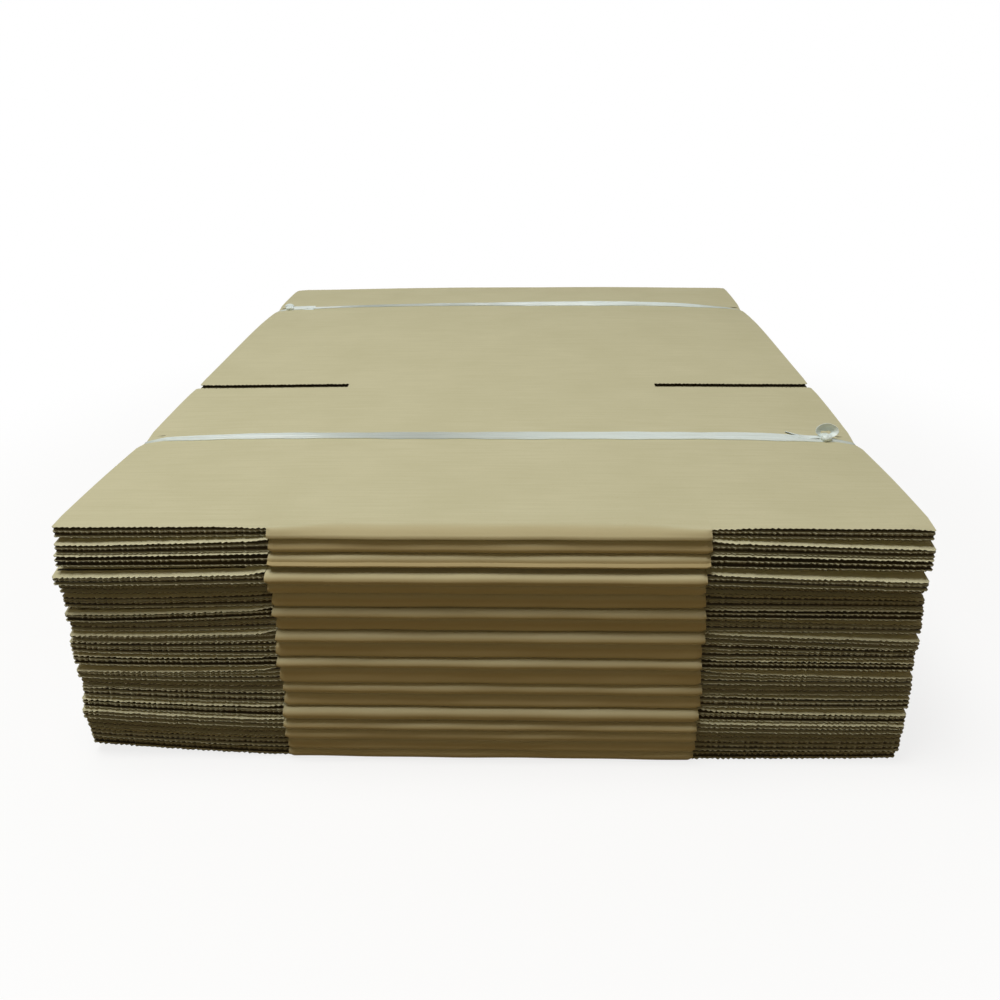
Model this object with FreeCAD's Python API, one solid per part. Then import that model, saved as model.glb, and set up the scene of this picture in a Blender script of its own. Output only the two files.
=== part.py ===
import FreeCAD, Part
import math
import os

# A tied bundle of flattened corrugated cartons, in millimetres.
# X runs along the flutes, which is the height of each carton and its flaps. Y runs from the
# front fold to the back fold. Z is up, and the bundle lies on its underside.

# The carton, as it would be set up
carton_length = 350.0
carton_width = 250.0
carton_height = 250.0
slot_width = 7.0
seam_width = 2.0
glue_tab_width = 35.0
glue_tab_thickness = 0.5

# Its board
board_thickness = 3.8
liner_thickness = 0.4
core_setback = 0.9

# The flattened carton
ply_gap = 0.8
fold_radius = 3.6
fold_flats = 5
fold_wall = 2.6

# How far each carton lies out of line, from the bottom of the bundle to its top: to the right,
# and towards the front
carton_shifts = [
    (-1.0, -1.8), (-0.2, 0.4), (-0.7, 1.1), (-1.0, 3.2), (-0.4, 1.8),
    (0.6, 0.7), (0.8, 0.2), (-0.3, 1.3), (-0.8, 1.2), (-1.1, 0.9),
    (0.1, 1.0), (0.6, -0.6), (-0.5, 0.7), (-0.5, -0.7), (-1.6, -1.0),
    (-1.8, 3.1), (0.1, 0.6), (0.8, -1.0), (0.2, -3.8),
]

# The two ties of flat plastic film
tie_width = 13.0
tie_thickness = 0.5
tie_corner = 4.0
tie_channel_clearance = 0.6
front_tie_setback = 140.0
rear_tie_setback = 508.0

# Their knots, measured from the middle of the bundle along X
front_knot_x = 232.0
rear_knot_x = -238.0
knot_length = 13.0
knot_width = 10.0
knot_height = 6.5
knot_rounding = 2.4
knot_loop_length = 14.0
knot_loop_height = 6.0
knot_loop_width = 7.0
knot_loop_corner = 2.2
tail_length = 30.0
tail_width = 5.5
tail_spread = 6.0
front_tail_turn = 157.0
rear_tail_turn = -8.0

# Sizes that follow
flap_length = carton_width / 2
flat_length = carton_length + carton_width
carton_thickness = 2 * board_thickness + ply_gap
bundle_height = carton_thickness * len(carton_shifts)
half_height = carton_height / 2
half_slot = slot_width / 2
end_x = half_height + flap_length
reach_x = end_x + max(abs(shift_x) for shift_x, shift_y in carton_shifts)

right = FreeCAD.Vector(1, 0, 0)
back = FreeCAD.Vector(0, 1, 0)
up = FreeCAD.Vector(0, 0, 1)


def face_in_yz(points, x):
    """A flat polygon face at x, from (y, z) points."""
    corners = [FreeCAD.Vector(x, y, z) for y, z in points]
    return Part.Face(Part.makePolygon(corners + corners[:1]))


def skin_section(x):
    """The flattened carton's outer section at x, with each fold rounded in short flats."""
    high_y = flat_length - fold_radius
    high_z = carton_thickness - fold_radius
    quarters = [(high_y, high_z, 0), (fold_radius, high_z, 90),
                (fold_radius, fold_radius, 180), (high_y, fold_radius, 270)]
    points = []
    for centre_y, centre_z, start in quarters:
        for step in range(fold_flats + 1):
            angle = math.radians(start + 90 * step / fold_flats)
            points.append((centre_y + fold_radius * math.cos(angle),
                           centre_z + fold_radius * math.sin(angle)))
    return face_in_yz(points, x)


def body_panels():
    """The four panels, folded flat at the front and the back, with the gap left between them."""
    tube = skin_section(-half_height).extrude(right * carton_height)
    gap = Part.makeBox(carton_height, flat_length - 2 * fold_wall, ply_gap,
                       FreeCAD.Vector(-half_height, fold_wall, board_thickness))
    return tube.cut(gap)


def flap(low_y, high_y, low_z, low_x):
    """One flap: on its cut edges the fluted core sits back between the two liners."""
    high_z = low_z + board_thickness
    low_core = low_z + liner_thickness
    high_core = high_z - liner_thickness
    points = [
        (low_y, low_z), (high_y, low_z), (high_y, low_core), (high_y - core_setback, low_core),
        (high_y - core_setback, high_core), (high_y, high_core), (high_y, high_z),
        (low_y, high_z), (low_y, high_core), (low_y + core_setback, high_core),
        (low_y + core_setback, low_core), (low_y, low_core),
    ]
    return face_in_yz(points, low_x).extrude(right * flap_length)


def ply_flaps(slot_y, low_z):
    """The four flaps of one ply, with a slot at slot_y and half a slot at each fold."""
    flaps = []
    for low_x in (-end_x, half_height):
        flaps.append(flap(half_slot, slot_y - half_slot, low_z, low_x))
        flaps.append(flap(slot_y + half_slot, flat_length - half_slot, low_z, low_x))
    return flaps


def flat_carton():
    """One carton, cut, scored, folded and glued from one sheet, and pressed flat."""
    upper = ply_flaps(carton_width, board_thickness + ply_gap)
    lower = ply_flaps(carton_length, 0)
    carton = body_panels().fuse(upper + lower)
    seam = Part.makeBox(carton_height, seam_width, board_thickness,
                        FreeCAD.Vector(-half_height, carton_length - seam_width / 2, 0))
    tab_root = seam_width / 2 + board_thickness
    glue_tab = Part.makeBox(carton_height, glue_tab_width + tab_root, glue_tab_thickness,
                            FreeCAD.Vector(-half_height, carton_length - glue_tab_width,
                                           board_thickness))
    return carton.cut(seam).fuse(glue_tab).removeSplitter()


def film_face(low_x, high_x, low_z, high_z, corner, growth, y):
    """What a turn of film goes round, as a face at y: a rectangle whose corners it bends over in
    two folds. The outline is grown by growth on all sides."""
    corner = corner + growth * (2 - math.sqrt(2))
    low_x, high_x = low_x - growth, high_x + growth
    low_z, high_z = low_z - growth, high_z + growth
    points = [
        (low_x + corner, low_z), (high_x - corner, low_z), (high_x, low_z + corner),
        (high_x, high_z - corner), (high_x - corner, high_z), (low_x + corner, high_z),
        (low_x, high_z - corner), (low_x, low_z + corner),
    ]
    corners = [FreeCAD.Vector(x, y, z) for x, z in points]
    return Part.Face(Part.makePolygon(corners + corners[:1]))


def loop_face(growth, y):
    """The ties' inner outline round the bundle, grown by growth."""
    return film_face(-reach_x, reach_x, tie_thickness, bundle_height, tie_corner, growth, y)


def tie_band(centre_y):
    """The band itself, drawn tight round the bundle."""
    low_y = centre_y - tie_width / 2
    outside = loop_face(tie_thickness, low_y).extrude(back * tie_width)
    inside = loop_face(0, low_y).extrude(back * tie_width)
    return outside.cut(inside)


def tie_channel(centre_y):
    """What the band's pull crushes: all that lies outside its inner outline."""
    channel_width = tie_width + 2 * tie_channel_clearance
    low_y = centre_y - channel_width / 2
    margin = 2 * tie_corner
    block = Part.makeBox(2 * (reach_x + margin), channel_width, bundle_height + 2 * margin,
                         FreeCAD.Vector(-reach_x - margin, low_y, -margin))
    return block.cut(loop_face(0, low_y).extrude(back * channel_width))


def knot_loop(centre_x, centre_y, low_z, side):
    """The small bow of film that stands out of a knot, flattened against the board."""
    far_x = centre_x + side * knot_loop_length
    low_x, high_x = sorted((centre_x, far_x))
    low_y = centre_y - knot_loop_width / 2
    high_z = low_z + knot_loop_height
    shells = []
    for growth in (0, -tie_thickness):
        outline = film_face(low_x, high_x, low_z, high_z, knot_loop_corner, growth, low_y)
        shells.append(outline.extrude(back * knot_loop_width))
    return shells[0].cut(shells[1])


def knot_tail(centre_x, centre_y, low_z, turn):
    """One loose end of the film, lying flat on the top board."""
    tail = Part.makeBox(tail_length, tail_width, tie_thickness,
                        FreeCAD.Vector(centre_x, centre_y - tail_width / 2, low_z))
    tail.rotate(FreeCAD.Vector(centre_x, centre_y, low_z), up, turn)
    return tail


def knot(centre_x, centre_y, loop_side, tail_turn):
    """A knot on the top run of a tie, with its bow and its two loose ends."""
    wrap = Part.makeBox(knot_length, knot_width, knot_height,
                        FreeCAD.Vector(centre_x - knot_length / 2, centre_y - knot_width / 2,
                                       bundle_height))
    top_edges = [edge for edge in wrap.Edges if edge.BoundBox.ZMin > bundle_height]
    wrap = wrap.makeChamfer(knot_rounding, top_edges)
    pieces = [knot_loop(centre_x, centre_y, bundle_height, loop_side)]
    for turn in (tail_turn, tail_turn + tail_spread):
        pieces.append(knot_tail(centre_x, centre_y, bundle_height, turn))
    return wrap.fuse(pieces)


def tie(setback, knot_x, loop_side, tail_turn):
    """One tie: its band and its knot, from one length of film."""
    return tie_band(setback).fuse(knot(knot_x, setback, loop_side, tail_turn)).removeSplitter()


# The bundle, with the front folds near y = 0
channels = [tie_channel(front_tie_setback), tie_channel(rear_tie_setback)]
pieces = {}
pattern = flat_carton()
top_carton = len(carton_shifts) - 1
for level, (shift_x, shift_front) in enumerate(carton_shifts):
    carton = pattern.copy()
    carton.translate(FreeCAD.Vector(shift_x, -shift_front, level * carton_thickness))
    if level in (0, top_carton):
        carton = carton.cut(channels)
    pieces["flat_box_%02d" % (level + 1)] = carton
pieces["tie_front"] = tie(front_tie_setback, front_knot_x, -1, front_tail_turn)
pieces["tie_rear"] = tie(rear_tie_setback, rear_knot_x, 1, rear_tail_turn)

# The origin is the middle of the bundle's underside
extent = Part.makeCompound(list(pieces.values())).BoundBox
to_origin = FreeCAD.Vector(-extent.Center.x, -extent.Center.y, -extent.ZMin)
os.makedirs("parts", exist_ok=True)
for name, shape in pieces.items():
    shape.translate(to_origin)
    shape.exportStep("parts/%s.step" % name)
    print(name, shape.isValid(), len(shape.Solids), round(shape.Volume))
print("size", round(extent.XLength, 2), round(extent.YLength, 2), round(extent.ZLength, 2))
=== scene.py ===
import bpy
import math
import numpy as np
from mathutils import Matrix, Vector
from mathutils.geometry import delaunay_2d_cdt


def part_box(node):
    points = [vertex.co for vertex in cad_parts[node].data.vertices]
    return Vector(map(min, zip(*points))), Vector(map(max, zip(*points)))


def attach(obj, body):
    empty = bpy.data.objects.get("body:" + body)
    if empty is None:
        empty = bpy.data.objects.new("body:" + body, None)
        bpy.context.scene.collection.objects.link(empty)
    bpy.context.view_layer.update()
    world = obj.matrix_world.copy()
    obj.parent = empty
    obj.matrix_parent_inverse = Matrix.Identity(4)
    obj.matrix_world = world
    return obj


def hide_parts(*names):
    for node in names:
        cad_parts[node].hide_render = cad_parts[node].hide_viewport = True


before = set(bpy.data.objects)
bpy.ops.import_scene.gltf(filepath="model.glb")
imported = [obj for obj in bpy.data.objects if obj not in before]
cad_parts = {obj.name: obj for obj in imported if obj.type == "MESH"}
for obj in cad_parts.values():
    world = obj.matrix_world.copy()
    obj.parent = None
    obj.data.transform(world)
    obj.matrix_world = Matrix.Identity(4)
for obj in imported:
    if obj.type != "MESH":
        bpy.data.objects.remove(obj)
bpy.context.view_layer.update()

# The board. Each carton is single-wall corrugated board: two brown kraft liners glued to the
# crests of a fluted paper medium. Toothed rules cut it, so its edges are fine saws, and the
# flutes stand back between the liners.
millimetre = 0.001
liner_thickness = 0.4
medium_thickness = 0.26
flute_pitch = 7.9
samples_per_flute = 6
tooth_pitch = 3.175
tooth_depth = 0.9
open_flute_depth = 12.0
edge_flute_width = 10.0
flute_phases = [0.4, 2.3, 4.1, 6.2]


def linear(hex_colour):
    """An sRGB hex colour as linear red, green, blue and alpha."""
    values = [int(hex_colour[start:start + 2], 16) / 255 for start in (1, 3, 5)]
    return [v / 12.92 if v <= 0.04045 else ((v + 0.055) / 1.055) ** 2.4 for v in values] + [1]


def add_node(tree, kind, inputs=None, **settings):
    """Adds a node: settings are its properties, inputs are values or links for its sockets."""
    made = tree.nodes.new(kind)
    for name, value in settings.items():
        setattr(made, name, value)
    for socket, value in (inputs or {}).items():
        if isinstance(value, bpy.types.NodeSocket):
            tree.links.new(value, made.inputs[socket])
        else:
            made.inputs[socket].default_value = value
    return made


def paper_material(name, light, dark, fleck_and_fold_shade, tooth):
    """Unbleached kraft paper off the reel: dull, cloudy, with fibres that lie along X and a fine tooth.
    Over the rounds of the folds a painted shade mixes in the third colour, browner and darker, standing
    in for the shade and the bounce between the stacked folds; the same colour also tints the paper's
    flecks."""
    material = bpy.data.materials.new(name)
    material.use_nodes = True
    tree = material.node_tree
    tree.nodes.clear()
    place = add_node(tree, "ShaderNodeTexCoord").outputs["Object"]
    cloud = add_node(tree, "ShaderNodeTexNoise", {
        "Vector": place, "Scale": 1 / (55 * millimetre), "Detail": 4.0, "Roughness": 0.6})
    streak_place = add_node(tree, "ShaderNodeMapping", {
        "Vector": place,
        "Scale": (1 / (45 * millimetre), 1 / (1.6 * millimetre), 1 / (4 * millimetre))})
    streaks = add_node(tree, "ShaderNodeTexNoise", {
        "Vector": streak_place.outputs["Vector"], "Scale": 1.0, "Detail": 3.0})
    flecks = add_node(tree, "ShaderNodeTexNoise", {
        "Vector": place, "Scale": 1 / (1.4 * millimetre), "Detail": 2.0})
    mottle = add_node(tree, "ShaderNodeMath", {
        0: cloud.outputs["Fac"], 1: streaks.outputs["Fac"]}, operation="MULTIPLY")
    shade = add_node(tree, "ShaderNodeMapRange", {
        "Value": mottle.outputs["Value"], "From Min": 0.12, "From Max": 0.38})
    paper = add_node(tree, "ShaderNodeMix", {
        "Factor": shade.outputs["Result"], "A": linear(dark), "B": linear(light)},
        data_type="RGBA")
    speck = add_node(tree, "ShaderNodeMapRange", {
        "Value": flecks.outputs["Fac"], "From Min": 0.62, "From Max": 0.78,
        "To Max": 0.22})
    specked = add_node(tree, "ShaderNodeMix", {
        "Factor": speck.outputs["Result"], "A": paper.outputs["Result"],
        "B": linear(fleck_and_fold_shade)}, data_type="RGBA")
    # Painted shade: this value mixes the darker, browner colour over the rounds of the folds.
    fold_shade = add_node(tree, "ShaderNodeAttribute", attribute_name="fold_shade")
    surface = add_node(tree, "ShaderNodeMix", {
        "Factor": fold_shade.outputs["Fac"], "A": specked.outputs["Result"],
        "B": linear(fleck_and_fold_shade)}, data_type="RGBA")
    fibre = add_node(tree, "ShaderNodeTexNoise", {
        "Vector": place, "Scale": 1 / (tooth * millimetre), "Detail": 3.0})
    relief = add_node(tree, "ShaderNodeBump", {
        "Height": fibre.outputs["Fac"], "Strength": 0.35, "Distance": 0.12 * millimetre})
    washboard = add_node(tree, "ShaderNodeTexWave", {
        "Vector": place, "Scale": math.pi / (10 * flute_pitch * millimetre),
        "Distortion": 0.6, "Detail": 1.0}, bands_direction="Y")
    ribs = add_node(tree, "ShaderNodeBump", {
        "Height": washboard.outputs["Fac"], "Normal": relief.outputs["Normal"],
        "Strength": 0.12, "Distance": 0.05 * millimetre})
    shader = add_node(tree, "ShaderNodeBsdfPrincipled", {
        "Base Color": surface.outputs["Result"], "Normal": ribs.outputs["Normal"],
        "Roughness": 0.82, "Specular IOR Level": 0.25})
    add_node(tree, "ShaderNodeOutputMaterial", {"Surface": shader.outputs["BSDF"]})
    return material


# Each paper's third colour is a painted shade for the rounds of the folds, browner and darker, and also
# the tint of its flecks.
kraft_liner = paper_material("kraft_liner", "#C2BE9D", "#BBB795", "#A5956A", 0.7)
# The cut edges are coloured far darker than the liner: painted shade for the recesses between the
# flaps, over the edges' own slightly darker, rougher tone.
shaded_cut_edge = paper_material("cut_liner_edge_painted_shade", "#5F5436", "#241C0C", "#1E160A", 0.4)
# The fluting medium is the same paper coloured near black: painted shade for the flutes that stand back
# between the liners.
fluting_medium_painted_shade = paper_material("fluting_medium_painted_shade", "#33290F", "#201908", "#181206", 0.5)

# The fluted medium, as a strip of closed wavy sheet: the tree waves a grid along Y and gives
# it its thickness.
flute_inputs = [
    ("Length", "NodeSocketFloat"), ("Width", "NodeSocketFloat"), ("Cells", "NodeSocketInt"),
    ("Columns", "NodeSocketInt"), ("Pitch", "NodeSocketFloat"), ("Height", "NodeSocketFloat"),
    ("Phase", "NodeSocketFloat"), ("Thickness", "NodeSocketFloat"),
    ("Centre", "NodeSocketVector"), ("Paper", "NodeSocketMaterial"),
]
flute_tree = bpy.data.node_groups.new("fluted_medium", "GeometryNodeTree")
for socket_name, socket_type in flute_inputs:
    flute_tree.interface.new_socket(socket_name, in_out="INPUT", socket_type=socket_type)
flute_tree.interface.new_socket("Mesh", in_out="OUTPUT", socket_type="NodeSocketGeometry")
flute_sockets = {item.name: item.identifier for item in flute_tree.interface.items_tree}
given = add_node(flute_tree, "NodeGroupInput").outputs
grid = add_node(flute_tree, "GeometryNodeMeshGrid", {
    "Size X": given["Length"], "Size Y": given["Width"],
    "Vertices X": given["Cells"], "Vertices Y": given["Columns"]})
moved = add_node(flute_tree, "GeometryNodeTransform", {
    "Geometry": grid.outputs["Mesh"], "Translation": given["Centre"]})
across = add_node(flute_tree, "ShaderNodeSeparateXYZ", {
    "Vector": add_node(flute_tree, "GeometryNodeInputPosition").outputs["Position"]})
along_wave = add_node(flute_tree, "ShaderNodeMath", {
    0: across.outputs["Y"], 1: given["Phase"]}, operation="ADD")
turns = add_node(flute_tree, "ShaderNodeMath", {
    0: along_wave.outputs["Value"], 1: given["Pitch"]}, operation="DIVIDE")
angle = add_node(flute_tree, "ShaderNodeMath", {
    0: turns.outputs["Value"], 1: math.tau}, operation="MULTIPLY")
sine = add_node(flute_tree, "ShaderNodeMath", {0: angle.outputs["Value"]}, operation="SINE")
half_height = add_node(flute_tree, "ShaderNodeMath", {
    0: given["Height"], 1: 0.5}, operation="MULTIPLY")
lift = add_node(flute_tree, "ShaderNodeMath", {
    0: sine.outputs["Value"], 1: half_height.outputs["Value"]}, operation="MULTIPLY")
waved = add_node(flute_tree, "GeometryNodeSetPosition", {
    "Geometry": moved.outputs["Geometry"],
    "Offset": add_node(flute_tree, "ShaderNodeCombineXYZ", {
        "Z": lift.outputs["Value"]}).outputs["Vector"]})
upward = add_node(flute_tree, "ShaderNodeCombineXYZ", {"Z": given["Thickness"]})
upper_side = add_node(flute_tree, "GeometryNodeExtrudeMesh", {
    "Mesh": waved.outputs["Geometry"], "Offset": upward.outputs["Vector"],
    "Offset Scale": 1.0, "Individual": False}, mode="FACES")
lower_side = add_node(flute_tree, "GeometryNodeFlipFaces", {
    "Mesh": waved.outputs["Geometry"]})
both_sides = add_node(flute_tree, "GeometryNodeJoinGeometry")
flute_tree.links.new(upper_side.outputs["Mesh"], both_sides.inputs["Geometry"])
flute_tree.links.new(lower_side.outputs["Mesh"], both_sides.inputs["Geometry"])
closed = add_node(flute_tree, "GeometryNodeMergeByDistance", {
    "Geometry": both_sides.outputs["Geometry"], "Distance": 0.001})
real = add_node(flute_tree, "GeometryNodeRealizeInstances", {
    "Geometry": closed.outputs["Geometry"]})
papered = add_node(flute_tree, "GeometryNodeSetMaterial", {
    "Geometry": real.outputs["Geometry"], "Material": given["Paper"]})
add_node(flute_tree, "NodeGroupOutput", {"Mesh": papered.outputs["Geometry"]})


def fluted_strip(low_x, high_x, low_y, high_y, low_z, cells, phase):
    """Points and faces of one strip of medium, between two liners that low_z lies under."""
    columns = round((high_y - low_y) / flute_pitch * samples_per_flute) + 1
    height = board_thickness - 2 * liner_thickness - medium_thickness
    centre = ((low_x + high_x) / 2, (low_y + high_y) / 2,
              low_z + (board_thickness - medium_thickness) / 2)
    values = {
        "Length": high_x - low_x, "Width": high_y - low_y, "Cells": cells + 1,
        "Columns": columns, "Pitch": flute_pitch, "Height": height, "Phase": phase,
        "Thickness": medium_thickness, "Centre": centre, "Paper": fluting_medium_painted_shade}
    carrier = bpy.data.objects.new("strip", bpy.data.meshes.new("strip"))
    bpy.context.scene.collection.objects.link(carrier)
    modifier = carrier.modifiers.new("flutes", "NODES")
    modifier.node_group = flute_tree
    for socket_name, value in values.items():
        modifier[flute_sockets[socket_name]] = value
    view = bpy.context.evaluated_depsgraph_get()
    mesh = bpy.data.meshes.new_from_object(carrier.evaluated_get(view))
    points = np.empty(len(mesh.vertices) * 3)
    mesh.vertices.foreach_get("co", points)
    faces = [tuple(face.vertices) for face in mesh.polygons]
    bpy.data.objects.remove(carrier)
    bpy.data.meshes.remove(mesh)
    return points.reshape(-1, 3), faces


# The flat carton, in millimetres, as it was cut, slotted, folded and glued: x from the middle,
# y from its front fold to its back fold, z from its underside. Each ply of the body is two
# panels, and each end has two flaps a ply with a slot between them.
carton_names = sorted(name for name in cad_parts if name.startswith("flat_box_"))
low, high = (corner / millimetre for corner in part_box(carton_names[1]))
carton_thickness = high.z - low.z
flat_length = high.y - low.y
flat_width = high.x - low.x
panel_height = flat_width / 2
flap_length = (flat_width - panel_height) / 2
ply_gap = 0.8
board_thickness = (carton_thickness - ply_gap) / 2
slot_width = 7.0
upper_slot = panel_height
lower_slot = flat_length - panel_height
seam_width = 2.0
corner_rounding = 4.0
core_setback = 0.8
fold_depth = 4.8
top_fold_depth = 11.0
fold_steps = 16
crushed_end = 3.0
sheet_cell = 15.0
inner_sheet_cell = 40.0
station_cell = 9.0
end_stations = 12.0
strip_cells = 12
left_tooth_start = 1000
LINER, EDGE, MEDIUM = 0, 1, 2


def evenly(low_value, high_value, cell):
    """Values from low to high, about a cell apart."""
    return np.linspace(low_value, high_value, max(2, round((high_value - low_value) / cell) + 1))


def flap_outline(low_y, high_y, cell):
    """A right-hand flap's outline, anticlockwise: plain at both ends, saw teeth on both sides.
    The second value of each tooth point says which tooth moves it."""
    low_x = panel_height / 2
    end_x = low_x + flap_length
    teeth = round((flap_length - corner_rounding) / tooth_pitch)
    saw = low_x + (flap_length - corner_rounding) * np.arange(2 * teeth) / (2 * teeth - 1)
    turn = corner_rounding * (1 - np.array([0.5, 0.866]))
    points, tooth = [], []
    for number, x in enumerate(saw):
        points.append((x, low_y + tooth_depth * (number % 2)))
        tooth.append(number + 1)
    points += [(end_x - turn[0], low_y + turn[1]), (end_x - turn[1], low_y + turn[0])]
    for y in evenly(low_y, high_y, cell)[1:-1]:
        points.append((end_x, y))
    points += [(end_x - turn[1], high_y - turn[0]), (end_x - turn[0], high_y - turn[1])]
    tooth += [0] * (len(points) - len(tooth))
    for number, x in enumerate(saw[::-1]):
        points.append((x, high_y - tooth_depth * ((number + 1) % 2)))
        tooth.append(-(number + 1))
    for y in evenly(low_y, high_y, cell)[-2:0:-1]:
        points.append((low_x, y))
        tooth.append(0)
    return points, tooth


def flap_sheet(low_y, high_y, low_z, cell):
    """One liner of a right-hand flap, as a closed sheet."""
    outline, tooth = flap_outline(low_y, high_y, cell)
    inside = [(x, y)
              for x in evenly(panel_height / 2, flat_width / 2, cell)[1:-1]
              for y in evenly(low_y, high_y, cell)[1:-1]]
    rim = len(outline)
    flat = [Vector(point) for point in outline + inside]
    edges = [(start, (start + 1) % rim) for start in range(rim)]
    found = delaunay_2d_cdt(flat, edges, [], 1, 0.0001)
    order = [sources[0] for sources in found[3]]
    count = len(flat)
    points = np.array([(p.x, p.y, low_z + liner_thickness) for p in flat]
                      + [(p.x, p.y, low_z) for p in flat])
    faces, looks = [], []
    for triangle in found[2]:
        a, b, c = (order[corner] for corner in triangle)
        faces += [(a, b, c), (c + count, b + count, a + count)]
        looks += [LINER, LINER]
    for start, end in edges:
        faces.append((start, start + count, end + count, end))
        looks.append(EDGE)
    teeth = np.array((tooth + [0] * len(inside)) * 2)
    return points, faces, looks, teeth


def body_stations():
    """Where the body has a ring of points: close together at its crushed ends."""
    half = panel_height / 2
    ends = np.array([0, 0.7, 1.8, crushed_end, 6.0])
    middle = evenly(-half + end_stations, half - end_stations, station_cell)
    return np.concatenate([-half + ends, middle, half - ends[::-1]])


def fold_profile(depth):
    """The round of a fold, from its underside to its top: how far it stands back, and its
    height."""
    angles = np.linspace(-math.pi / 2, math.pi / 2, fold_steps + 1)
    return depth * (1 - np.cos(angles)), carton_thickness * (1 + np.sin(angles)) / 2


def body_skin(depth):
    """The body, folded at the front and the back, as one closed skin with the glued seam's
    groove in its underside."""
    backs, heights = fold_profile(depth)
    inner = evenly(depth, flat_length - depth, sheet_cell)[1:-1]
    groove = [(lower_slot - seam_width / 2, 0), (lower_slot - seam_width / 2, board_thickness),
              (lower_slot + seam_width / 2, board_thickness), (lower_slot + seam_width / 2, 0)]
    ring = list(zip(backs, heights))
    ring += [(y, carton_thickness) for y in inner]
    ring += [(flat_length - back, height) for back, height in zip(backs[::-1], heights[::-1])]
    under = sorted([(y, 0) for y in inner if abs(y - lower_slot) > 2 * seam_width]
                   + groove, key=lambda point: point[0])
    ring += under[::-1]
    stations = body_stations()
    size = len(ring)
    points = np.array([(x, y, z) for x in stations for y, z in ring])
    faces = []
    for place in range(len(stations) - 1):
        for corner in range(size):
            following = (corner + 1) % size
            near, far = place * size, (place + 1) * size
            faces.append((near + corner, near + following, far + following, far + corner))
    looks = [LINER] * len(faces)
    last = (len(stations) - 1) * size
    faces += [tuple(reversed(range(size))), tuple(range(last, last + size))]
    looks += [MEDIUM, MEDIUM]
    return points, faces, looks, np.zeros(len(points), int)


def carton_pattern(phase, depth):
    """All of one flat carton: points, faces, their materials, which tooth moves a point, and how
    many points come first that are the body's."""
    parts = [body_skin(depth)]
    half_slot = slot_width / 2
    for slot, ply_z in ((lower_slot, 0), (upper_slot, board_thickness + ply_gap)):
        for low_y, high_y in ((half_slot, slot - half_slot),
                              (slot + half_slot, flat_length - half_slot)):
            right_parts = []
            outer_z = 0 if ply_z == 0 else ply_z + board_thickness - liner_thickness
            inner_z = board_thickness - liner_thickness if ply_z == 0 else ply_z
            right_parts.append(flap_sheet(low_y, high_y, outer_z, sheet_cell))
            right_parts.append(flap_sheet(low_y, high_y, inner_z, inner_sheet_cell))
            start_x = panel_height / 2
            end_x = flat_width / 2
            mouth_x = end_x - open_flute_depth
            front_y = low_y + tooth_depth + core_setback
            back_y = high_y - tooth_depth - core_setback
            corner_x = end_x - corner_rounding / 3
            strips = [(mouth_x, end_x - core_setback, low_y + edge_flute_width,
                       high_y - edge_flute_width, 1),
                      (start_x, corner_x, front_y, low_y + edge_flute_width,
                       strip_cells),
                      (start_x, corner_x, high_y - edge_flute_width, back_y,
                       strip_cells)]
            for low_x, high_x, from_y, to_y, cells in strips:
                points, faces = fluted_strip(low_x, high_x, from_y, to_y, ply_z, cells, phase)
                right_parts.append((points, faces, [MEDIUM] * len(faces),
                                    np.zeros(len(points), int)))
            for points, faces, looks, teeth in right_parts:
                parts.append((points, faces, looks, teeth))
                mirrored = points * (-1, 1, 1)
                turned = [face[::-1] for face in faces]
                left_teeth = np.where(teeth, teeth + left_tooth_start * np.sign(teeth), 0)
                parts.append((mirrored, turned, looks, left_teeth))
    all_points = np.concatenate([part[0] for part in parts])
    all_faces, all_looks, start = [], [], 0
    for points, faces, looks, teeth in parts:
        all_faces += [tuple(corner + start for corner in face) for face in faces]
        all_looks += looks
        start += len(points)
    all_teeth = np.concatenate([part[3] for part in parts])
    return all_points, all_faces, all_looks, all_teeth, len(parts[0][0])


# How the cartons lie in the bundle. The ties draw the ends of the flaps together and bite into
# them, the folds spring back, and the flaps part a little at the front. Heights are in
# millimetres, pairs are for the left and the right or for where a change starts and ends, and
# lists run from the bottom of the bundle to its top. Deep folds stand back between their
# neighbours.
bundle_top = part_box(carton_names[-1])[1].z / millimetre
tie_places = [sum(corner.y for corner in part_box(name)) / 2 / millimetre
              for name in ("tie_front", "tie_rear")]
front_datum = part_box(carton_names[1])[0].y / millimetre
tie_reach = 55.0
bite_reach = 9.0
end_drop = (1.2, 0.6)
tie_drop = (2.2, 3.2)
tie_bite = (2.6, 2.6)
rear_crown = 5.0
end_lift = (7.6, 2.4)
tie_lift = (1.5, 2.0)
under_bite = 0.66
root_reach = 112.0
root_dip = 1.1
root_dip_reach = 35.0
crown_start = (230, 480)
crown_end = (530, 600)
crown_flank = (60, 250)
crown_middle = 25
crown_loss = 0.3
drop_span = (90, 250)
tie_drop_span = (150, 255)
bite_span = (232, 251)
parted_front = (40, 200)
sprung_front = (15, 130)
sprung_back = (15, 120)
fold_lifts = [0, -0.4, -0.8, -0.7, -1.9, -1.2, -0.9, -1.0, 1.3, 0.4,
              2.2, 1.3, 2.0, 0.1, 0.6, 0.4, 2.0, 1.8, 1.8, 0]
fold_grooves = [0.3, 0.4, 0.8, 0.4, 0.8, 0.4, 0.8, 0.4, 0.8, 0.4,
                0.8, 0.4, 0.9, 0.4, 0.8, 0.4, 0.5, 0.4, 0.8, 0.3]
fold_reaches = [0.4, -0.6, 0.8, -0.5, 0.8, -0.9, 0.8, -1.0, 0.9, -1.0,
                0.9, -1.1, 0.9, -1.1, 0.9, 0.8, 0.7, -1.2, 1.2]
fold_tips = [0.6, 0.4, 0.55, 0.5, 0.55, 0.35, 0.55, 0.35, 0.55, 0.35,
             0.5, 0.3, 0.5, 0.3, 0.55, 0.5, 0.35, 0.35, 0.12]
plain_top, deep_top = 2.0, 1.7
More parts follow.
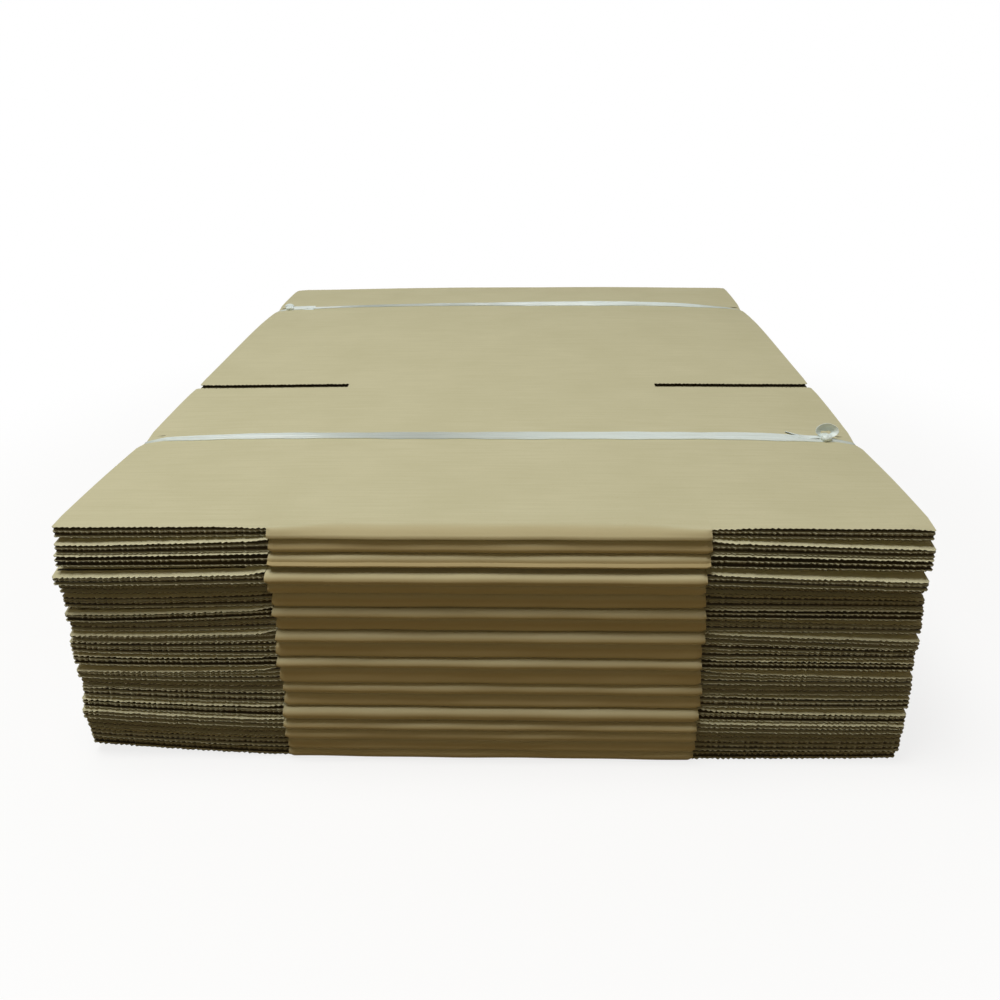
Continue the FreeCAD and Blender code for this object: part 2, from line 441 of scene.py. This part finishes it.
plain_under, deep_under = 1.9, 2.4
deep_folds = (1, 5, 7, 9, 11, 13, 17)
fold_relief = 40.0
open_fold = 16
open_fold_gap = 1.9
crease_depth = 1.6
flap_openings = {
    "left": [0.3, 2.0, 1.8, 0.7, 1.3, 0.3, 0.3, 4.2, 1.8, 0.4, 0.4, 0.2, 3.5, 2.6, 0.9, 5.4,
             0.6, 3.9],
    "right": [0.2, 0.4, 0.9, 0.5, 2.8, 3.1, 0.2, 4.6, 1.1, 0.4, 3.8, 3.0, 0.3, 0.8, 0.3, 5.2,
              0.9, 3.8]}
inner_opening = 0.12
crushed_flaps = {17: (0.8, 1.0), 15: (2.0, 1.2), 13: (0.8, 0.6), 12: (1.6, 0.3),
                 11: (0.5, 1.0), 10: (2.2, 0.8), 8: (0.8, 1.0), 7: (1.6, 1.4), 4: (1.0, 1.6),
                 3: (0.6, 0.6), 1: (0.8, 0.5)}
crush_reach = 11.0
corner_reach = 14.0
tooth_play = (-0.35, 0.4)
tooth_count = 2400
pinch_back = 0.9
pinch_squash = 0.22
pinch_reach = (2, 8)
crease_height = 0.47
crease_spread = 0.09
upper_step = 1.6
body_crush = 0.95
flap_crush = 0.855
carton_count = len(carton_names)
ply_count = 2 * carton_count
chance = np.random.default_rng(19)
wave_count = 3
wave_steps = chance.normal(0, 1, (ply_count - 1, wave_count, 2)) / (110, 190)
wave_starts = chance.uniform(0, math.tau, (ply_count - 1, wave_count))
back_lifts = np.concatenate([[0], chance.uniform(-0.9, 0.9, carton_count - 1), [0]])
crushed_tips = chance.uniform(0, 1.6, (carton_count, 4))


def smooth_step(low_value, high_value, values):
    """0 below low, 1 above high, and a smooth rise between them."""
    share = np.clip((values - low_value) / (high_value - low_value), 0, 1)
    return share * share * (3 - 2 * share)


def by_side(x, pair):
    """The left or the right value of a pair."""
    return np.where(x < 0, pair[0], pair[1])


def tie_pull(y, tie_width):
    """How strongly the ties pull at y: 1 under a tie, 0 far from both."""
    return sum(np.exp(-((y - place) / tie_width) ** 2) for place in tie_places)


def crown(x, y):
    """How far the middle of the bundle's back half swells above its ends."""
    set_back = y - front_datum
    rise = smooth_step(*crown_start, set_back)
    rise = rise * (1 - crown_loss * smooth_step(*crown_end, set_back))
    flank = smooth_step(*crown_flank, np.abs(x - crown_middle))
    return rear_crown * rise * (1 - crown_loss * flank)


def top_surface(x, y):
    """The height of the top carton's upper face."""
    out = np.abs(x)
    drop = by_side(x, end_drop) * smooth_step(*drop_span, out)
    pulled = smooth_step(*tie_drop_span, out) ** 1.5
    drop = drop + by_side(x, tie_drop) * tie_pull(y, tie_reach) * pulled
    bite = by_side(x, tie_bite) * tie_pull(y, bite_reach) * smooth_step(*bite_span, out)
    return bundle_top + crown(x, y) - drop - bite


def under_surface(x, y):
    """The height of the bottom carton's underside."""
    share = np.clip((np.abs(x) - panel_height / 2) / flap_length, 0, 1) ** 1.4
    lift = by_side(x, end_lift) + by_side(x, tie_lift) * tie_pull(y, tie_reach)
    return lift * share + under_bite * tie_pull(y, bite_reach)


def fold_stack(lifts, carton, count):
    """The lowest and highest point of a carton's fold, with the groove to its neighbours."""
    low_z = carton * carton_thickness + lifts[carton] + fold_grooves[carton] / 2
    high_z = (carton + 1) * carton_thickness + lifts[carton + 1] - fold_grooves[carton + 1] / 2
    if lifts is fold_lifts and carton == open_fold - 1:
        high_z -= open_fold_gap
    thickness = min(board_thickness, (high_z - low_z - 0.1) / 2)
    levels = np.array([low_z, low_z + thickness, high_z - thickness, high_z])
    return np.repeat(levels[:, None], count, axis=1)


def ply_levels(x, y, carton):
    """Heights at x and y of a carton's four board faces, from its underside to its top."""
    set_back = y - front_datum
    top, under = top_surface(x, y), under_surface(x, y)
    flap_share = smooth_step(panel_height / 2 - 25, panel_height / 2 + 25, np.abs(x))
    thickness = board_thickness * (body_crush + (flap_crush - body_crush) * flap_share)
    waves = np.einsum("gwd,dn->gwn", wave_steps, np.array([x, y])) + wave_starts[:, :, None]
    weights = np.exp(0.9 * np.sin(waves).sum(axis=1))
    front = 1 - smooth_step(*parted_front, set_back)
    openings = np.where(x < 0, np.array(flap_openings["left"])[:, None],
                        np.array(flap_openings["right"])[:, None])
    weights[1::2] = weights[1::2] * (1 - front) + (openings + 0.1 * weights[1::2]) * front
    weights[0::2] *= 0.3 * (1 - front) + inner_opening * front
    share = np.concatenate([np.zeros((1, len(x))), np.cumsum(weights, axis=0)])
    slack = (top - under - ply_count * thickness) / share[-1]
    levels = []
    for ply in (2 * carton, 2 * carton + 1):
        base = under + ply * thickness + slack * share[ply]
        levels += [base, base + thickness]
    free = np.array(levels)
    body = 1 - np.clip((np.abs(x) - panel_height / 2 + 3) / root_reach, 0, 1)
    at_front = body * (1 - smooth_step(*sprung_front, set_back))
    at_back = body * smooth_step(flat_length - sprung_back[1], flat_length - sprung_back[0],
                                 set_back)
    span = (top - under) / bundle_top
    front_levels = under + fold_stack(fold_lifts, carton, len(x)) * span
    back_levels = under + fold_stack(back_lifts, carton, len(x)) * span
    return free * (1 - at_front - at_back) + front_levels * at_front + back_levels * at_back


def fold_back(height_share, carton, depth):
    """How far a carton's front fold stands back at each share of its height, from its tip."""
    tip = fold_tips[carton]
    deep = carton in deep_folds
    above = np.clip((height_share - tip) / (1 - tip), 0, 1)
    below = np.clip((tip - height_share) / tip, 0, 1)
    top_power = deep_top if deep else plain_top
    under_power = deep_under if deep else plain_under
    return (depth * (1 - (1 - above ** top_power) ** (1 / top_power))
            + fold_depth * (1 - (1 - below ** under_power) ** (1 / under_power)))


def laid_in_bundle(points, teeth, body_count, carton, centre_x, front_y, depth):
    """Moves a flat carton's points to where they lie in the bundle. The first body_count points
    are its body's, and its folds were made depth deep."""
    x, y, z = points.T.copy()
    along = np.abs(x)
    half = panel_height / 2
    flaps = np.arange(len(points)) >= body_count
    tooth_jitter = np.random.default_rng(carton).uniform(*tooth_play, tooth_count)
    y = y + np.sign(teeth) * tooth_jitter[teeth]
    reach = np.clip(1 - (y - slot_width / 2) / crush_reach, 0, 1) ** 1.6
    crush = by_side(x, crushed_flaps.get(carton, (0, 0))) * reach
    crush = crush * flaps * smooth_step(half, half + 12, along)
    if carton == carton_count - 1:
        crush = crush + flaps * root_dip * reach * (1 - smooth_step(half, half + root_dip_reach, along))
    near_end = np.minimum(y, flat_length - y)
    from_corner = np.hypot(flat_width / 2 - along, near_end - slot_width / 2)
    corner = np.clip(1 - from_corner / corner_reach, 0, 1)
    tip = crushed_tips[carton][(x > 0).astype(int) + 2 * (y > flat_length / 2)]
    crush = crush + flaps * tip * corner ** 1.5
    at_front = y < flat_length / 2
    ends = 1 - smooth_step(0, crushed_end, half - along)
    at_fold = (near_end < depth + 0.01) & ~flaps
    pinch = np.where(at_fold, ends * (1 - smooth_step(*pinch_reach, near_end)), 0)
    share = z / carton_thickness
    deep = fold_depth + (depth - fold_depth) * (1 - smooth_step(half - 45, half - 2, along))
    y = np.where(at_fold & at_front, fold_back(share, carton, deep), y)
    round_back = fold_depth * (1 - np.sqrt(np.clip(1 - (2 * share - 1) ** 2, 0, 1)))
    y = np.where(at_fold & ~at_front, flat_length - round_back, y)
    wander = 0.2 * np.sin(x / 23 + 2.1 * carton) + 0.15 * np.sin(x / 9.5 + 1.3 * carton)
    reach = np.where(at_front, -fold_reaches[carton], 0)
    if carton == open_fold:
        crease = crease_depth * np.exp(-((share - crease_height) / crease_spread) ** 2)
        reach = reach + at_front * (crease + upper_step * smooth_step(0.45, 0.6, share))
    near_fold = (1 - smooth_step(depth, fold_relief, near_end)) * ~flaps
    inward = np.where(at_front, 1, -1)
    y = y + inward * near_fold * (wander + reach + pinch_back * pinch)
    middle = carton_thickness / 2
    z = middle + (z - middle) * (1 - pinch_squash * pinch)
    world_x, world_y = centre_x + x, front_y + y
    knots = [0, board_thickness, board_thickness + ply_gap, carton_thickness]
    levels = ply_levels(world_x, world_y, carton)
    parts = np.array([np.interp(z, knots, row) for row in np.eye(4)])
    height = (levels * parts).sum(axis=0)
    upper = smooth_step(board_thickness + ply_gap, carton_thickness, z)
    return np.column_stack([world_x, world_y, height - crush * upper])


def mesh_piece(name, points, faces, looks, materials, point_values):
    """A piece from points in millimetres, smooth except at its sharp edges."""
    mesh = bpy.data.meshes.new(name)
    mesh.from_pydata(points * millimetre, [], faces)
    for material in materials:
        mesh.materials.append(material)
    mesh.polygons.foreach_set("material_index", looks)
    mesh.polygons.foreach_set("use_smooth", [True] * len(faces))
    mesh.set_sharp_from_angle(angle=math.radians(38))
    for value_name, values in point_values.items():
        mesh.attributes.new(value_name, "FLOAT", "POINT").data.foreach_set("value", values)
    mesh.update()
    piece = bpy.data.objects.new(name, mesh)
    bpy.context.scene.collection.objects.link(piece)
    return piece


# From where to where the painted shade of a fold fades, as distances from its tip
fold_shade_span = (1, 9)
top_fold_shade_span = (1, 13)
patterns = [carton_pattern(phase, fold_depth) for phase in flute_phases]
top_pattern = carton_pattern(flute_phases[1], top_fold_depth)
for carton, name in enumerate(carton_names):
    low, high = (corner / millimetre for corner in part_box(name))
    is_top = carton == carton_count - 1
    depth = top_fold_depth if is_top else fold_depth
    pattern = top_pattern if is_top else patterns[carton % len(patterns)]
    points, faces, looks, teeth, body_count = pattern
    centre_x = (low.x + high.x) / 2
    laid = laid_in_bundle(points, teeth, body_count, carton, centre_x, low.y, depth)
    from_fold = np.minimum(points[:, 1], flat_length - points[:, 1])
    on_body = np.arange(len(points)) < body_count
    shade_span = top_fold_shade_span if is_top else fold_shade_span
    # Painted shade over the rounds of the folds, browner and darker: lighter on the top carton, and
    # paler on the upper shoulder of the others, which faces the lamp.
    fold_shade = np.where(on_body, 1 - smooth_step(*shade_span, from_fold), 0)
    lit_shoulder = smooth_step(0.6, 0.9, points[:, 2] / carton_thickness)
    fold_shade = fold_shade * (0.6 if is_top else 0.95 - 0.5 * lit_shoulder)
    piece = mesh_piece("carton_%02d" % (carton + 1), laid, faces, looks,
                       [kraft_liner, shaded_cut_edge, fluting_medium_painted_shade], {"fold_shade": fold_shade})
    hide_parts(name)
    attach(piece, "root")

# The ties. Each is one length of white drawn plastic film, flat as it comes off the roll and
# pleated by the pull. It is drawn tight round the bundle and knotted on top near one end, with
# a small bow and two loose ends. Sizes are in millimetres.
film_steps = 12
film_thickness = 0.25
pleat_count = 3
bend = 4.0
slack_width = 5.5
slack_height = 0.4
slack_sheen_level = 0.8
wrap_radius = 3.6
wrap_centre = 2.1
wrap_rise = 1.7
wraps = [(24, 6.0), (-28, 5.0)]
knot_place = {"tie_front": 229.0, "tie_rear": -236.0}
bow_side = {"tie_front": 1, "tie_rear": -1}
bow_share = {"tie_front": 1.0, "tie_rear": 0.6}
tail_turns = {"tie_front": (157, 171), "tie_rear": (-8, 12)}
tail_length = 27.0
full_bow_radius = 5.2
# Along the top run: x, the film's width, the height of its pleats, and its painted sheen: how white it
# is drawn, whiter where it catches the light and greyer where it lies in shade
front_run = [(-252, 3.5, 0.9, 0.4), (-238, 4.5, 1.3, 0.8), (-218, 8, 1.3, 0.75),
             (-180, 9.5, 1.3, 0.75), (-140, 10, 1.3, 0.6), (-90, 11, 0.9, 0.25),
             (-50, 12, 0.7, 0.1), (-15, 12.5, 0.9, 0.35), (20, 13, 1.3, 0.55),
             (70, 13, 1.5, 0.75), (150, 13, 1.7, 0.85), (200, 12, 1.6, 0.85),
             (225, 9, 1.6, 0.75), (238, 5, 1.3, 0.7), (252, 3.5, 0.9, 0.5)]
rear_run = [(-252, 3.5, 1, 0.5), (-236, 6, 2, 0.8), (-205, 5, 1.2, 0.5), (-150, 7, 1, 0.1),
            (-80, 8, 1.4, 0.25), (-20, 10, 2, 0.5), (40, 12, 2.6, 0.85), (100, 13, 3, 1),
            (160, 11, 2.6, 1), (205, 8, 1.9, 0.9), (228, 4, 1.1, 0.6), (252, 3.5, 0.9, 0.4)]


def film_material():
    """Drawn polypropylene film, glossy, with fine creases along it. Its colour carries painted sheen
    and shade: white where the sheen value is high, greyer where it is low, and a painted grey shade in
    the dips of the creases."""
    material = bpy.data.materials.new("drawn_polypropylene_film")
    material.use_nodes = True
    tree = material.node_tree
    tree.nodes.clear()
    place = add_node(tree, "ShaderNodeTexCoord").outputs["Object"]
    drawn = add_node(tree, "ShaderNodeMapping", {
        "Vector": place,
        "Scale": (1 / (40 * millimetre), 1 / (1.2 * millimetre), 1 / (1.2 * millimetre))})
    creases = add_node(tree, "ShaderNodeTexNoise", {
        "Vector": drawn.outputs["Vector"], "Scale": 1.0, "Detail": 4.0})
    # Painted sheen and shade: this value mixes the film from a shaded grey to a lit white.
    painted_sheen = add_node(tree, "ShaderNodeAttribute", attribute_name="painted_sheen")
    body = add_node(tree, "ShaderNodeMix", {
        "Factor": painted_sheen.outputs["Fac"], "A": linear("#98A098"), "B": linear("#D8E4E2")},
        data_type="RGBA")
    # Painted shade: the film is greyer in the dips of its creases.
    groove = add_node(tree, "ShaderNodeMapRange", {
        "Value": creases.outputs["Fac"], "From Min": 0.5, "From Max": 0.25,
        "To Max": 0.35})
    colour = add_node(tree, "ShaderNodeMix", {
        "Factor": groove.outputs["Result"], "A": body.outputs["Result"],
        "B": linear("#A9ABA0")}, data_type="RGBA")
    relief = add_node(tree, "ShaderNodeBump", {
        "Height": creases.outputs["Fac"], "Strength": 0.6, "Distance": 0.3 * millimetre})
    shader = add_node(tree, "ShaderNodeBsdfPrincipled", {
        "Base Color": colour.outputs["Result"], "Normal": relief.outputs["Normal"],
        "Roughness": 0.3, "IOR": 1.49})
    add_node(tree, "ShaderNodeOutputMaterial", {"Surface": shader.outputs["BSDF"]})
    return material


drawn_film = film_material()


def film_strip(path, outward, across, widths, heights, is_loop):
    """A pleated strip of film along a path, flat underneath, with rounded pleats on top."""
    path, outward, across = np.array(path), np.array(outward), np.array(across)
    shares = np.linspace(-1, 1, film_steps + 1)
    walked = np.concatenate([[0], np.cumsum(np.linalg.norm(np.diff(path, axis=0), axis=1))])
    rings = []
    for place, point in enumerate(path):
        crown = np.sqrt(1 - 0.9 * shares ** 2)
        twist = 0.9 * math.sin(walked[place] / 47) + 0.5 * math.sin(walked[place] / 19)
        pleats = 0.66 + 0.34 * np.cos(math.pi * pleat_count * shares + twist)
        rise = film_thickness + heights[place] * crown * pleats
        edge = 1 + 0.06 * math.sin(walked[place] / 13) + 0.05 * math.sin(walked[place] / 5.3)
        flat = point + np.outer(shares * edge * widths[place] / 2, across[place])
        rings.append(np.concatenate([flat, (flat + np.outer(rise, outward[place]))[::-1]]))
    size = len(rings[0])
    faces = []
    for place in range(len(path) if is_loop else len(path) - 1):
        near, far = place * size, (place + 1) % len(path) * size
        for corner in range(size):
            following = (corner + 1) % size
            faces.append((near + corner, near + following, far + following, far + corner))
    if not is_loop:
        last = (len(path) - 1) * size
        faces += [tuple(reversed(range(size))), tuple(range(last, last + size))]
    return np.concatenate(rings), faces, size


def tangents(path, is_loop):
    """Unit directions along a path."""
    ahead = np.roll(path, -1, axis=0) - np.roll(path, 1, axis=0)
    if not is_loop:
        ahead[0], ahead[-1] = path[1] - path[0], path[-1] - path[-2]
    return ahead / np.linalg.norm(ahead, axis=1)[:, None]


def band_path(y, reach):
    """The band's route at y, once round the bundle, clockwise seen from the front."""
    def top_at(x):
        return float(top_surface(np.array([x]), np.array([y]))[0]) + 0.05

    def under_at(x):
        return float(under_surface(np.array([x]), np.array([y]))[0])

    run = evenly(-reach + bend, reach - bend, 6)
    turns = np.linspace(0, math.pi / 2, 6)
    route = [(x, top_at(x)) for x in run]
    for side in (1, -1):
        high_z, low_z = top_at(side * (reach - bend)), under_at(side * (reach - bend))
        round_top = [(side * (reach - bend * (1 - math.sin(a))), high_z - bend * (1 - math.cos(a)))
                     for a in turns[1:]]
        wall = [(side * reach, z) for z in evenly(high_z - bend, low_z + bend, 8)[1:-1]]
        round_under = [(side * (reach - bend * (1 - math.cos(a))), low_z + bend * (1 - math.sin(a)))
                       for a in turns]
        if side > 0:
            route += round_top + wall + round_under + [(x, under_at(x)) for x in run[-2:0:-1]]
        else:
            route += round_under[::-1] + wall[::-1] + round_top[::-1]
    return np.array([(x, y, z) for x, z in route])


def knot_wrap(centre, turn, width):
    """One turn of film round the band where it is knotted, turned by turn about the vertical."""
    angles = np.linspace(0, math.tau, 20, endpoint=False)
    forward_turn = math.radians(turn)
    side = np.array([math.sin(-forward_turn), math.cos(forward_turn), 0])
    across = np.array([math.cos(forward_turn), math.sin(forward_turn), 0])
    up = np.array([0, 0, 1.0])
    path = np.array([centre + wrap_radius * math.cos(a) * side
                     + (wrap_centre + wrap_rise * math.sin(a)) * up for a in angles])
    outward = np.array([math.cos(a) * side + math.sin(a) * up for a in angles])
    return film_strip(path, outward, np.tile(across, (len(path), 1)),
                      np.full(len(path), width), np.full(len(path), 0.9), True)


def bow(centre, side, share):
    """The small open bow that stands out of the knot, at a share of its full size."""
    bow_radius = full_bow_radius * share
    angles = np.linspace(math.radians(-100), math.radians(235), 22)
    up = np.array([0, 0.45, 0.89])
    along = np.array([side * 1.0, 0, 0])
    middle = centre + 1.5 * along + (bow_radius + 0.8) * up
    path = np.array([middle + 1.15 * bow_radius * math.cos(a) * along
                     + 0.62 * bow_radius * math.sin(a) * up for a in angles])
    ahead = tangents(path, False)
    radial = path - middle
    radial /= np.linalg.norm(radial, axis=1)[:, None]
    across = np.tile(np.array([0, 0.89, -0.45]) * side, (len(path), 1)) - 1.1 * radial
    across /= np.linalg.norm(across, axis=1)[:, None]
    outward = np.cross(ahead, across)
    outward /= np.linalg.norm(outward, axis=1)[:, None]
    widths = np.interp(np.linspace(0, 1, len(path)), [0, 0.3, 0.7, 1], [3.4, 5.4, 6.8, 4.4]) * share
    return film_strip(path, outward, across, widths, np.full(len(path), 0.35), False)


def tail(centre, turn):
    """One loose end of the film, from the knot, lying low over the board."""
    shares = np.linspace(0, 1, 12)
    angle = math.radians(turn)
    ahead = np.array([math.cos(angle), math.sin(angle), 0])
    sideways = np.array([-math.sin(angle), math.cos(angle), 0])
    lift = 2.4 * (1 - shares) ** 2 + 0.5 + 1.5 * shares ** 2
    path = (centre + np.outer(tail_length * shares, ahead)
            + np.outer(1.6 * np.sin(3.4 * shares), sideways) + np.outer(lift, (0, 0, 1)))
    roll = np.radians(25 * shares)
    across = np.outer(np.cos(roll), sideways) + np.outer(np.sin(roll), (0, 0, 1))
    outward = np.cross(tangents(path, False), across)
    widths = np.interp(shares, [0, 0.25, 0.8, 1], [3, 5, 4.6, 2.6])
    return film_strip(path, outward, across, widths, np.full(len(path), 0.3), False)


for name, run in (("tie_front", front_run), ("tie_rear", rear_run)):
    low, high = (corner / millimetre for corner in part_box(name))
    y = tie_places[0] if name == "tie_front" else tie_places[1]
    path = band_path(y, high.x - 1.4)
    ahead = tangents(path, True)
    outward = np.column_stack([-ahead[:, 2], np.zeros(len(path)), ahead[:, 0]])
    on_top = (path[:, 2] > bundle_top / 2) & (np.abs(path[:, 0]) < high.x - 2)
    xs, run_widths, run_heights, run_sheen_levels = np.array(run).T
    widths = np.where(on_top, np.interp(path[:, 0], xs, run_widths), slack_width)
    heights = np.where(on_top, np.interp(path[:, 0], xs, run_heights), slack_height)
    sheen_levels = np.where(on_top, np.interp(path[:, 0], xs, run_sheen_levels), slack_sheen_level)
    across = np.tile((0.0, 1.0, 0.0), (len(path), 1))
    knot_x = knot_place[name]
    at_knot = np.array([knot_x, y, float(top_surface(np.array([knot_x]), np.array([y]))[0])])
    strips = [film_strip(path, outward, across, widths, heights, True)]
    strips += [knot_wrap(at_knot, turn, width) for turn, width in wraps]
    strips.append(bow(at_knot, bow_side[name], bow_share[name]))
    strips += [tail(at_knot, turn) for turn in tail_turns[name]]
    points = np.concatenate([strip[0] for strip in strips])
    faces, start = [], 0
    for strip_points, strip_faces, size in strips:
        faces += [tuple(corner + start for corner in face) for face in strip_faces]
        start += len(strip_points)
    # Painted sheen: the knot, the bow and the loose ends are drawn near white, the top run as its table
    # gives, and the rest of the band at the slack level.
    painted_sheen = np.full(len(points), 0.95)
    painted_sheen[:len(strips[0][0])] = np.repeat(sheen_levels, strips[0][2])
    piece = mesh_piece(name + "_film", points, faces, [0] * len(faces), [drawn_film],
                       {"painted_sheen": painted_sheen})
    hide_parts(name)
    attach(piece, "root")

# The stage: a pale floor that fades to white for the camera, and soft light from above.
# Other rays see a greyer floor, as under a bundle on a bench.
floor_size = 4.0
floor_mesh = bpy.data.meshes.new("floor")
floor_mesh.from_pydata([(-floor_size, -floor_size, 0), (floor_size, -floor_size, 0),
                        (floor_size, floor_size, 0), (-floor_size, floor_size, 0)],
                       [], [(0, 1, 2, 3)])
floor = bpy.data.objects.new("floor", floor_mesh)
bpy.context.scene.collection.objects.link(floor)


def seen_directly(tree):
    """1 for rays from the camera, in a reflection or through glass, 0 for lighting rays."""
    rays = add_node(tree, "ShaderNodeLightPath").outputs
    first = add_node(tree, "ShaderNodeMath", {
        0: rays["Is Camera Ray"], 1: rays["Is Glossy Ray"]}, operation="MAXIMUM")
    return add_node(tree, "ShaderNodeMath", {
        0: first.outputs["Value"], 1: rays["Is Transmission Ray"]},
        operation="MAXIMUM").outputs["Value"]


floor_material = bpy.data.materials.new("pale_floor")
floor_material.use_nodes = True
tree = floor_material.node_tree
tree.nodes.clear()
pale = add_node(tree, "ShaderNodeBsdfDiffuse", {"Color": linear("#F8F8F6")})
glow = add_node(tree, "ShaderNodeEmission", {"Color": (1, 1, 1, 1), "Strength": 1.0})
from_middle = add_node(tree, "ShaderNodeVectorMath", {
    0: add_node(tree, "ShaderNodeTexCoord").outputs["Object"]}, operation="LENGTH")
fade = add_node(tree, "ShaderNodeMapRange", {
    "Value": from_middle.outputs["Value"], "From Min": 0.3, "From Max": 0.75,
    "To Min": 0.8, "To Max": 1.0}, interpolation_type="SMOOTHSTEP")
shown = add_node(tree, "ShaderNodeMixShader", {
    0: fade.outputs["Result"], 1: pale.outputs["BSDF"], 2: glow.outputs["Emission"]})
bench = add_node(tree, "ShaderNodeBsdfDiffuse", {"Color": linear("#746440")})
mixed = add_node(tree, "ShaderNodeMixShader", {
    0: seen_directly(tree), 1: bench.outputs["BSDF"], 2: shown.outputs["Shader"]})
add_node(tree, "ShaderNodeOutputMaterial", {"Surface": mixed.outputs["Shader"]})
floor_mesh.materials.append(floor_material)

world = bpy.data.worlds.new("studio")
bpy.context.scene.world = world
world.use_nodes = True
tree = world.node_tree
tree.nodes.clear()
white = add_node(tree, "ShaderNodeBackground", {"Color": (1, 1, 1, 1), "Strength": 1.0})
room = add_node(tree, "ShaderNodeBackground", {"Color": linear("#FFE6BC"), "Strength": 0.1})
both = add_node(tree, "ShaderNodeMixShader", {
    0: seen_directly(tree), 1: room.outputs["Background"], 2: white.outputs["Background"]})
add_node(tree, "ShaderNodeOutputWorld", {"Surface": both.outputs["Shader"]})


def soft_box(name, place, target, size, power, colour):
    """A square soft box at place, turned to target."""
    lamp = bpy.data.lights.new(name, "AREA")
    lamp.size = size
    lamp.energy = power
    lamp.color = linear(colour)[:3]
    stand = bpy.data.objects.new(name, lamp)
    stand.location = place
    stand.rotation_euler = (Vector(target) - Vector(place)).to_track_quat("-Z", "Y").to_euler()
    bpy.context.scene.collection.objects.link(stand)


soft_box("overhead", (-0.42, -0.4, 2.08), (0, -0.1, 0.1), 1.0, 35.5, "#FFFFFF")
soft_box("front_fill", (-0.2, -2.2, 0.9), (0, -0.3, 0.08), 1.0, 5.0, "#FFE4B4")

# The camera stands close in front of the bundle, a little above it. Its place and lens were
# fitted to the corners, the slots and the ends of the folds. Places are in millimetres, turns
# in degrees.
image_width = 1000.0
image_height = 1000.0
focal_pixels = 899.9
centre_pixel = (504.1, 421.3)
camera_place = (23.7, -741.9, 396.8)
pitch, yaw, roll = (math.radians(turn) for turn in (21.118, -1.741, -0.612))
sensor_width = 36.0
forward = Vector((math.sin(yaw) * math.cos(pitch), math.cos(yaw) * math.cos(pitch),
                  -math.sin(pitch)))
level_right = Vector((math.cos(yaw), -math.sin(yaw), 0))
level_up = level_right.cross(forward)
camera_right = math.cos(roll) * level_right + math.sin(roll) * level_up
camera_up = math.cos(roll) * level_up - math.sin(roll) * level_right
camera_data = bpy.data.cameras.new("camera")
camera_data.sensor_width = sensor_width
camera_data.lens = focal_pixels * sensor_width / image_width
camera_data.shift_x = (image_width / 2 - centre_pixel[0]) / image_width
camera_data.shift_y = (centre_pixel[1] - image_height / 2) / image_width
camera_data.clip_start = 0.05
camera = bpy.data.objects.new("camera", camera_data)
bpy.context.scene.collection.objects.link(camera)
turned = Matrix((camera_right, camera_up, -forward)).transposed().to_4x4()
camera.matrix_world = Matrix.Translation(Vector(camera_place) * millimetre) @ turned
bpy.context.scene.camera = camera
bpy.context.scene.view_settings.view_transform = "Standard"
